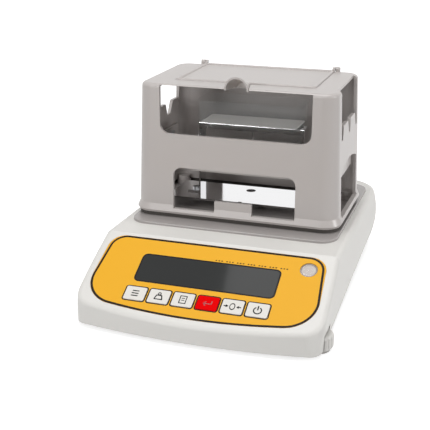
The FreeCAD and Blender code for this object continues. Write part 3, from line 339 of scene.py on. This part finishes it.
def arc_strokes(centre, radius, start, end, width, count=16, flat=1.0):
    """A curved stroke as short sectors between two circles; flat squeezes it sideways into an oval."""
    inner = turn((0, 0), radius - width / 2, start, end, count) * [flat, 1]
    outer = turn((0, 0), radius + width / 2, start, end, count) * [flat, 1]
    sectors = np.stack([inner[:-1], outer[:-1], outer[1:], inner[1:]], axis=1)
    return list(sectors + np.array(centre))


def outward_of(outline):
    """Unit vectors square to a closed outline that runs anticlockwise, pointing out of it: each is the chord
    between a point's two neighbours, turned by a quarter."""
    chord = np.roll(outline, -1, axis=0) - np.roll(outline, 1, axis=0)
    chord /= np.hypot(*chord.T)[:, None]
    return np.column_stack([chord[:, 1], -chord[:, 0]])


# Screen inks under the film's clear layer: dark brown, black, and a darker red for the red key
brown_ink = finish_of("screen_ink_brown", "#160D05", Roughness=0.5, Specular_IOR_Level=0.15)
black_ink = finish_of("screen_ink_black", "#0E0C0B", Roughness=0.5, Specular_IOR_Level=0.15)
red_ink = finish_of("screen_ink_dark_red", "#A30A10", Roughness=0.35)


def dress_panel():
    """Dark border of the panel, black frames of the display and the keys, and the row of small marks."""
    border_in, border_out = (panel_outline(inset) for inset in BORDER_INSETS)
    printed_band("panel_border_ink", border_in, border_out, brown_ink)
    u0, u1, v0, v1 = WINDOW
    wide = WINDOW_FRAME
    frame_out = box_outline(u0 - wide, u1 + wide, v0 - wide, v1 + wide, WINDOW_CORNER + wide)
    printed_band("display_frame_ink", box_outline(*WINDOW, WINDOW_CORNER), frame_out, black_ink)
    for i, u in enumerate(KEY_MIDS):
        inner, outer = (
            box_outline(
                u - KEY_HALF_U - grow,
                u + KEY_HALF_U + grow,
                KEY_V - KEY_HALF_V - grow,
                KEY_V + KEY_HALF_V + grow,
                KEY_CORNER + grow,
            )
            for grow in (0.0, KEY_FRAME)
        )
        printed_band("key_frame_ink_" + str(i + 1), inner, outer, black_ink)
    group, mark = np.meshgrid(np.arange(7), np.arange(3), indexing="ij")
    u = (MARK_START + group * MARK_GROUP_STEP + mark * MARK_STEP).ravel()
    middles = np.column_stack([u, np.full(len(u), MARK_V)])
    corners = np.array([[-1, -1], [1, -1], [1, 1], [-1, 1]]) * [MARK_HALF_U, MARK_HALF_V]
    printed("marks_ink", middles[:, None, :] + corners, PANEL_FACE, "base", brown_ink)


def dress_keys():
    """Plain signs on the keys: bars, a weight, a sheet, a return arrow, a nought between arrows, a power sign.
    Each is drawn about its key's middle."""
    menu = [stroke((-2.6, s), (2.6, s), BOLD) for s in (-2.2, 0.0, 2.2)]
    weight = [
        stroke((-3.2, -2.6), (3.2, -2.6), BOLD),
        stroke((-2.9, -2.6), (-2.0, 0.9), BOLD),
        stroke((2.9, -2.6), (2.0, 0.9), BOLD),
        stroke((-2.2, 0.9), (2.2, 0.9), BOLD),
    ] + arc_strokes((0, 2.3), 1.0, 0, 360, FINE)
    sheet = [
        stroke((-2.4, -3.2), (-2.4, 3.2), FINE),
        stroke((2.4, -3.2), (2.4, 3.2), FINE),
        stroke((-2.7, -3.2), (2.7, -3.2), FINE),
        stroke((-2.7, 3.2), (2.7, 3.2), FINE),
        stroke((-1.3, 1.2), (1.3, 1.2), HAIR),
        stroke((-1.3, -0.6), (1.3, -0.6), HAIR),
    ]
    back = [
        stroke((3.0, 2.2), (3.0, -0.6), BOLD),
        stroke((3.4, -0.6), (-2.6, -0.6), BOLD),
        stroke((-3.0, -0.6), (-1.0, 1.2), BOLD),
        stroke((-3.0, -0.6), (-1.0, -2.4), BOLD),
    ]
    nought = arc_strokes((0, 0), 2.6, 0, 360, BOLD, count=24, flat=0.7)
    for side in (-1, 1):
        nought.append(stroke((side * 3.2, 0), (side * 6.4, 0), ARROW))
        nought.append(np.array([[side * 2.8, 0], [side * 4.8, 1.3], [side * 4.8, -1.3], [side * 2.8, 0]]))
    power = arc_strokes((0, -0.4), 2.8, 120, 420, BOLD, count=24)
    power.append(stroke((0, -0.2), (0, 3.6), BOLD))
    names = ("function", "calibrate", "print", "enter", "zero", "power")
    for name, u, strokes in zip(names, KEY_MIDS, (menu, weight, sheet, back, nought, power)):
        ink = red_ink if name == "enter" else black_ink
        printed("sign_ink_" + name, np.array(strokes) + [u, KEY_V], KEY_FACE, "key_" + name, ink)


def painted_shade_cord():
    """Dark cord between the platform and the stand's rim, painted shade for the shadowed gap: a rectangular
    section on a box with round corners.
    """
    outline = box_outline(*CORD_BOX)
    inner = outline - outward_of(outline) * CORD_THICK
    low, high = CORD_LEVELS
    rows = [(outline, low), (outline, high), (inner, high), (inner, low)]
    surface("painted_shade_cord", levels(rows), "base", shade_cord_finish)


def tray_liner():
    """White sheet on the floor of the clear tray: a box outline with its two faces closed at the middle."""
    edge = box_outline(*LINER_BOX)
    middle = np.broadcast_to(edge.mean(axis=0), edge.shape)
    low, high = LINER_LEVELS
    rows = [(middle, low), (edge, low), (edge, high), (middle, high)]
    surface("tray_liner", levels(rows), "weigh", white_sheet, closed=False)


def lid_bead():
    """Low raised bead round the edge of the lid: a half round section carried along the lid's outline."""
    line = box_outline(*BEAD_BOX)
    outward = outward_of(line)
    angles = np.radians(np.linspace(0, 180, BEAD_COUNT))
    rows = [(line + outward * BEAD_HALF * math.cos(a), LID_FACE + BEAD_RISE * math.sin(a)) for a in angles]
    surface("lid_edge_bead", levels(rows), "lid", stand_abs)


def seen_white(owner, plain, shining):
    """Mix two closures: the shining one for camera, glossy and transmission rays, the plain one for the rest."""
    path = add(owner, "ShaderNodeLightPath").outputs
    direct = [(0, path["Is Camera Ray"]), (1, path["Is Glossy Ray"])]
    first = add(owner, "ShaderNodeMath", direct, operation="MAXIMUM")
    through = [(0, first.outputs[0]), (1, path["Is Transmission Ray"])]
    seen = add(owner, "ShaderNodeMath", through, operation="MAXIMUM")
    return add(owner, "ShaderNodeMixShader", [(0, seen.outputs[0]), (1, plain), (2, shining)]).outputs[0]


def white_floor():
    """Pale floor that keeps the object's shadow. Seen by the camera and in gloss it also glows white, a little
    more the farther a point lies from the middle, so that floor and backdrop run together."""
    bpy.ops.mesh.primitive_plane_add(size=FLOOR_SIDE)
    floor = bpy.context.object
    floor.name = "floor"
    paper = finish_of("white_studio_paper", "#CBCBCB", Roughness=0.9)
    shader = paper.node_tree.nodes["Principled BSDF"]
    glow = add(paper, "ShaderNodeEmission")
    place = add(paper, "ShaderNodeTexCoord")
    away = add(paper, "ShaderNodeVectorMath", [("Vector", place.outputs["Object"])], operation="LENGTH")
    rising = add(paper, "ShaderNodeMath", [(0, away.outputs["Value"])], operation="MULTIPLY_ADD")
    rising.inputs[1].default_value = FLOOR_WHITE_RISE
    rising.inputs[2].default_value = FLOOR_WHITE
    paper.node_tree.links.new(glow.inputs["Strength"], rising.outputs[0])
    lit = add(paper, "ShaderNodeAddShader", [(0, shader.outputs[0]), (1, glow.outputs[0])])
    surface_socket = paper.node_tree.nodes["Material Output"].inputs["Surface"]
    paper.node_tree.links.new(surface_socket, seen_white(paper, shader.outputs[0], lit.outputs[0]))
    floor.data.materials.append(paper)


def studio():
    """White floor, even room light that is seen as white, four soft lamps and the camera of the photograph."""
    white_floor()
    world = bpy.data.worlds.new("studio_light")
    bpy.context.scene.world = world
    world.use_nodes = True
    soft = world.node_tree.nodes["Background"]
    soft.inputs["Color"].default_value = linear("#FFFFFF")
    soft.inputs["Strength"].default_value = ROOM_LIGHT
    white = add(world, "ShaderNodeBackground", Color=linear("#FFFFFF"), Strength=1.0)
    surface_socket = world.node_tree.nodes["World Output"].inputs["Surface"]
    world.node_tree.links.new(surface_socket, seen_white(world, soft.outputs[0], white.outputs[0]))
    for name, place, size, power in LAMPS:
        light = bpy.data.lights.new(name, "AREA")
        light.size = size
        light.energy = power
        lamp = bpy.data.objects.new(name, light)
        lamp.location = place
        aim = np.array(LAMP_AIM) - np.array(place)
        tilt = math.atan2(math.hypot(aim[0], aim[1]), -aim[2])
        lamp.rotation_euler = (tilt, 0.0, math.atan2(-aim[0], aim[1]))
        bpy.context.scene.collection.objects.link(lamp)
    eye = bpy.data.cameras.new("camera")
    eye.lens = CAMERA_LENS
    eye.sensor_width = CAMERA_SENSOR
    camera = bpy.data.objects.new("camera", eye)
    camera.location = [length * MM for length in CAMERA_PLACE]
    camera.rotation_euler = (math.radians(90 - CAMERA_DIP), 0.0, math.radians(CAMERA_TURN))
    bpy.context.scene.collection.objects.link(camera)
    bpy.context.scene.camera = camera
    bpy.context.scene.view_settings.view_transform = "Standard"


dress_panel()
dress_keys()
painted_shade_cord()
tray_liner()
lid_bead()
studio()
